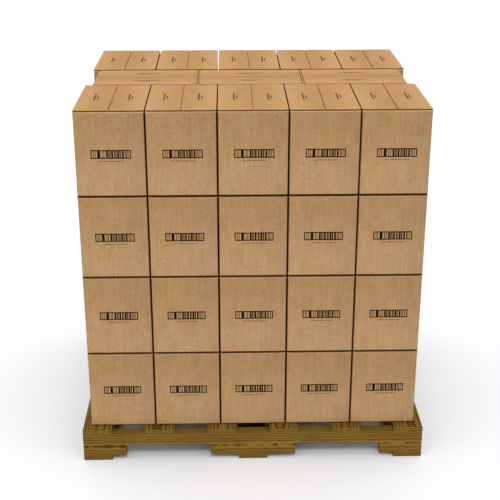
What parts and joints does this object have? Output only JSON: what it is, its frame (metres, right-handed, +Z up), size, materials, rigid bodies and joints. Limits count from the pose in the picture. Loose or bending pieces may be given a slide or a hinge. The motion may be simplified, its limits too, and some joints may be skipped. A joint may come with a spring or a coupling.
{
  "type": "palletised load of cartons",
  "caption": "Palletised load of plain corrugated cartons, stacked in layers with a turned middle row, on a notched-stringer timber pallet that forks enter from all sides.",
  "frame": {"origin": "middle of the pallet's footprint, on the floor that the base boards stand on", "axes": "+Z up, X along the pallet's stringers (its 1219.2 mm length), +Y from the front of the load to its back, along the deck boards (1016 mm)"},
  "size_m": [1.2192, 1.016, 1.2821],
  "materials": {
    "pallet_timber": "rough-sawn, olive-brown treated softwood with dark grain lines",
    "kraft_corrugated": "unbleached kraft liner, matt, with fine flute lines and fibre flecks"
  },
  "bodies": {
    "root": {"stringer_1": "pallet_timber", "stringer_2": "pallet_timber", "stringer_3": "pallet_timber", "deck_board_1": "pallet_timber", "deck_board_2": "pallet_timber", "deck_board_3": "pallet_timber", "deck_board_4": "pallet_timber", "deck_board_5": "pallet_timber", "deck_board_6": "pallet_timber", "base_board_1": "pallet_timber", "base_board_2": "pallet_timber", "base_board_3": "pallet_timber", "layer_1_front_carton_1": "kraft_corrugated", "layer_1_back_carton_1": "kraft_corrugated", "layer_1_front_carton_2": "kraft_corrugated", "layer_1_back_carton_2": "kraft_corrugated", "layer_1_front_carton_3": "kraft_corrugated", "layer_1_back_carton_3": "kraft_corrugated", "layer_1_front_carton_4": "kraft_corrugated", "layer_1_back_carton_4": "kraft_corrugated", "layer_1_front_carton_5": "kraft_corrugated", "layer_1_back_carton_5": "kraft_corrugated", "layer_1_turned_row": "kraft_corrugated", "layer_2_front_carton_1": "kraft_corrugated", "layer_2_back_carton_1": "kraft_corrugated", "layer_2_front_carton_2": "kraft_corrugated", "layer_2_back_carton_2": "kraft_corrugated", "layer_2_front_carton_3": "kraft_corrugated", "layer_2_back_carton_3": "kraft_corrugated", "layer_2_front_carton_4": "kraft_corrugated", "layer_2_back_carton_4": "kraft_corrugated", "layer_2_front_carton_5": "kraft_corrugated", "layer_2_back_carton_5": "kraft_corrugated", "layer_2_turned_row": "kraft_corrugated", "layer_3_front_carton_1": "kraft_corrugated", "layer_3_back_carton_1": "kraft_corrugated", "layer_3_front_carton_2": "kraft_corrugated", "layer_3_back_carton_2": "kraft_corrugated", "layer_3_front_carton_3": "kraft_corrugated", "layer_3_back_carton_3": "kraft_corrugated", "layer_3_front_carton_4": "kraft_corrugated", "layer_3_back_carton_4": "kraft_corrugated", "layer_3_front_carton_5": "kraft_corrugated", "layer_3_back_carton_5": "kraft_corrugated", "layer_3_turned_row": "kraft_corrugated", "layer_4_front_carton_1": "kraft_corrugated", "layer_4_back_carton_1": "kraft_corrugated", "layer_4_front_carton_2": "kraft_corrugated", "layer_4_back_carton_2": "kraft_corrugated", "layer_4_front_carton_3": "kraft_corrugated", "layer_4_back_carton_3": "kraft_corrugated", "layer_4_front_carton_4": "kraft_corrugated", "layer_4_back_carton_4": "kraft_corrugated", "layer_4_front_carton_5": "kraft_corrugated", "layer_4_back_carton_5": "kraft_corrugated", "layer_4_turned_carton_1": "kraft_corrugated", "layer_4_turned_carton_2": "kraft_corrugated", "layer_4_turned_carton_3": "kraft_corrugated"}
  },
  "joints": []
}
